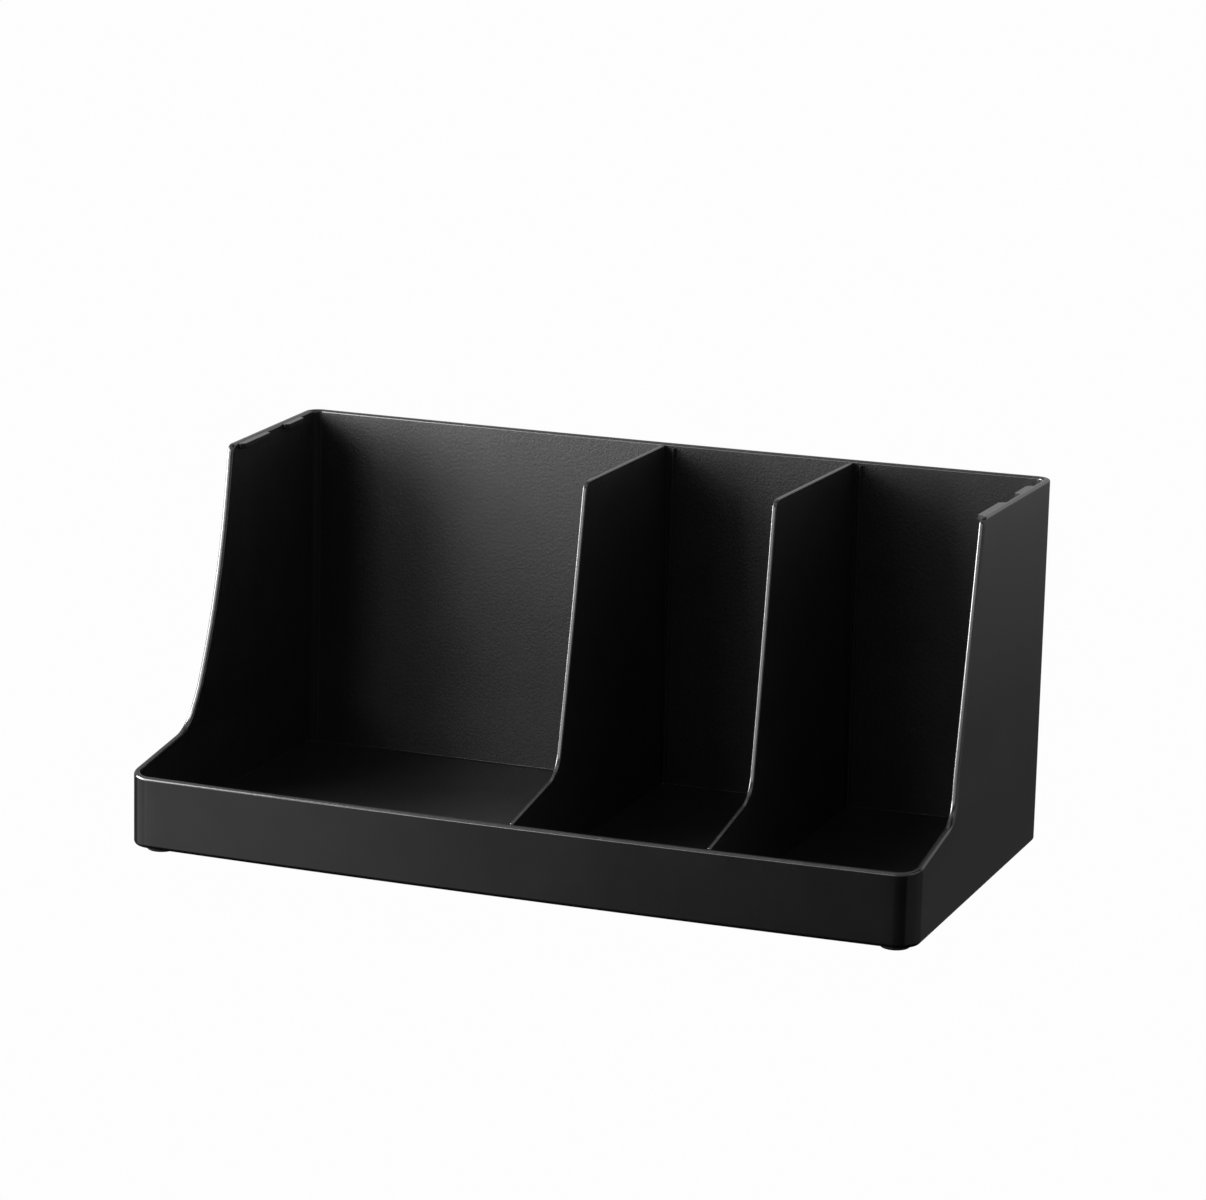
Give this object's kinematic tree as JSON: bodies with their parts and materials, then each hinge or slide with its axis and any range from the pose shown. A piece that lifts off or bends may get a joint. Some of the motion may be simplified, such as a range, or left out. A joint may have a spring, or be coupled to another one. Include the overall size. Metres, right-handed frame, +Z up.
{
  "type": "napkin dispenser",
  "caption": "Open-fronted countertop tray with a low lip, tall sides and lift-out dividers, for serving napkins, straws or packets.",
  "frame": {"origin": "centre of the footprint on the table, level with the soles of the feet", "axes": "+Z up, +X to the right seen from the front, so the open front faces -Y"},
  "size_m": [0.35, 0.184, 0.163],
  "materials": {
    "tray_plastic": "black, fine moulded grain, satin",
    "divider_plastic": "black, fine moulded grain, satin",
    "foot_rubber": "matt black rubber"
  },
  "bodies": {
    "tray": {"tray_body": "tray_plastic", "foot_front_left": "foot_rubber", "foot_front_right": "foot_rubber", "foot_rear_left": "foot_rubber", "foot_rear_right": "foot_rubber"},
    "centre_panel": {"centre_divider": "divider_plastic"},
    "right_panel": {"right_divider": "divider_plastic"}
  },
  "joints": [
    {"name": "centre_divider_lift", "type": "slide", "parent": "tray", "child": "centre_panel", "axis": [0, 0, 1], "range_m": [0, 0.155]},
    {"name": "right_divider_lift", "type": "slide", "parent": "tray", "child": "right_panel", "axis": [0, 0, 1], "range_m": [0, 0.155]}
  ]
}
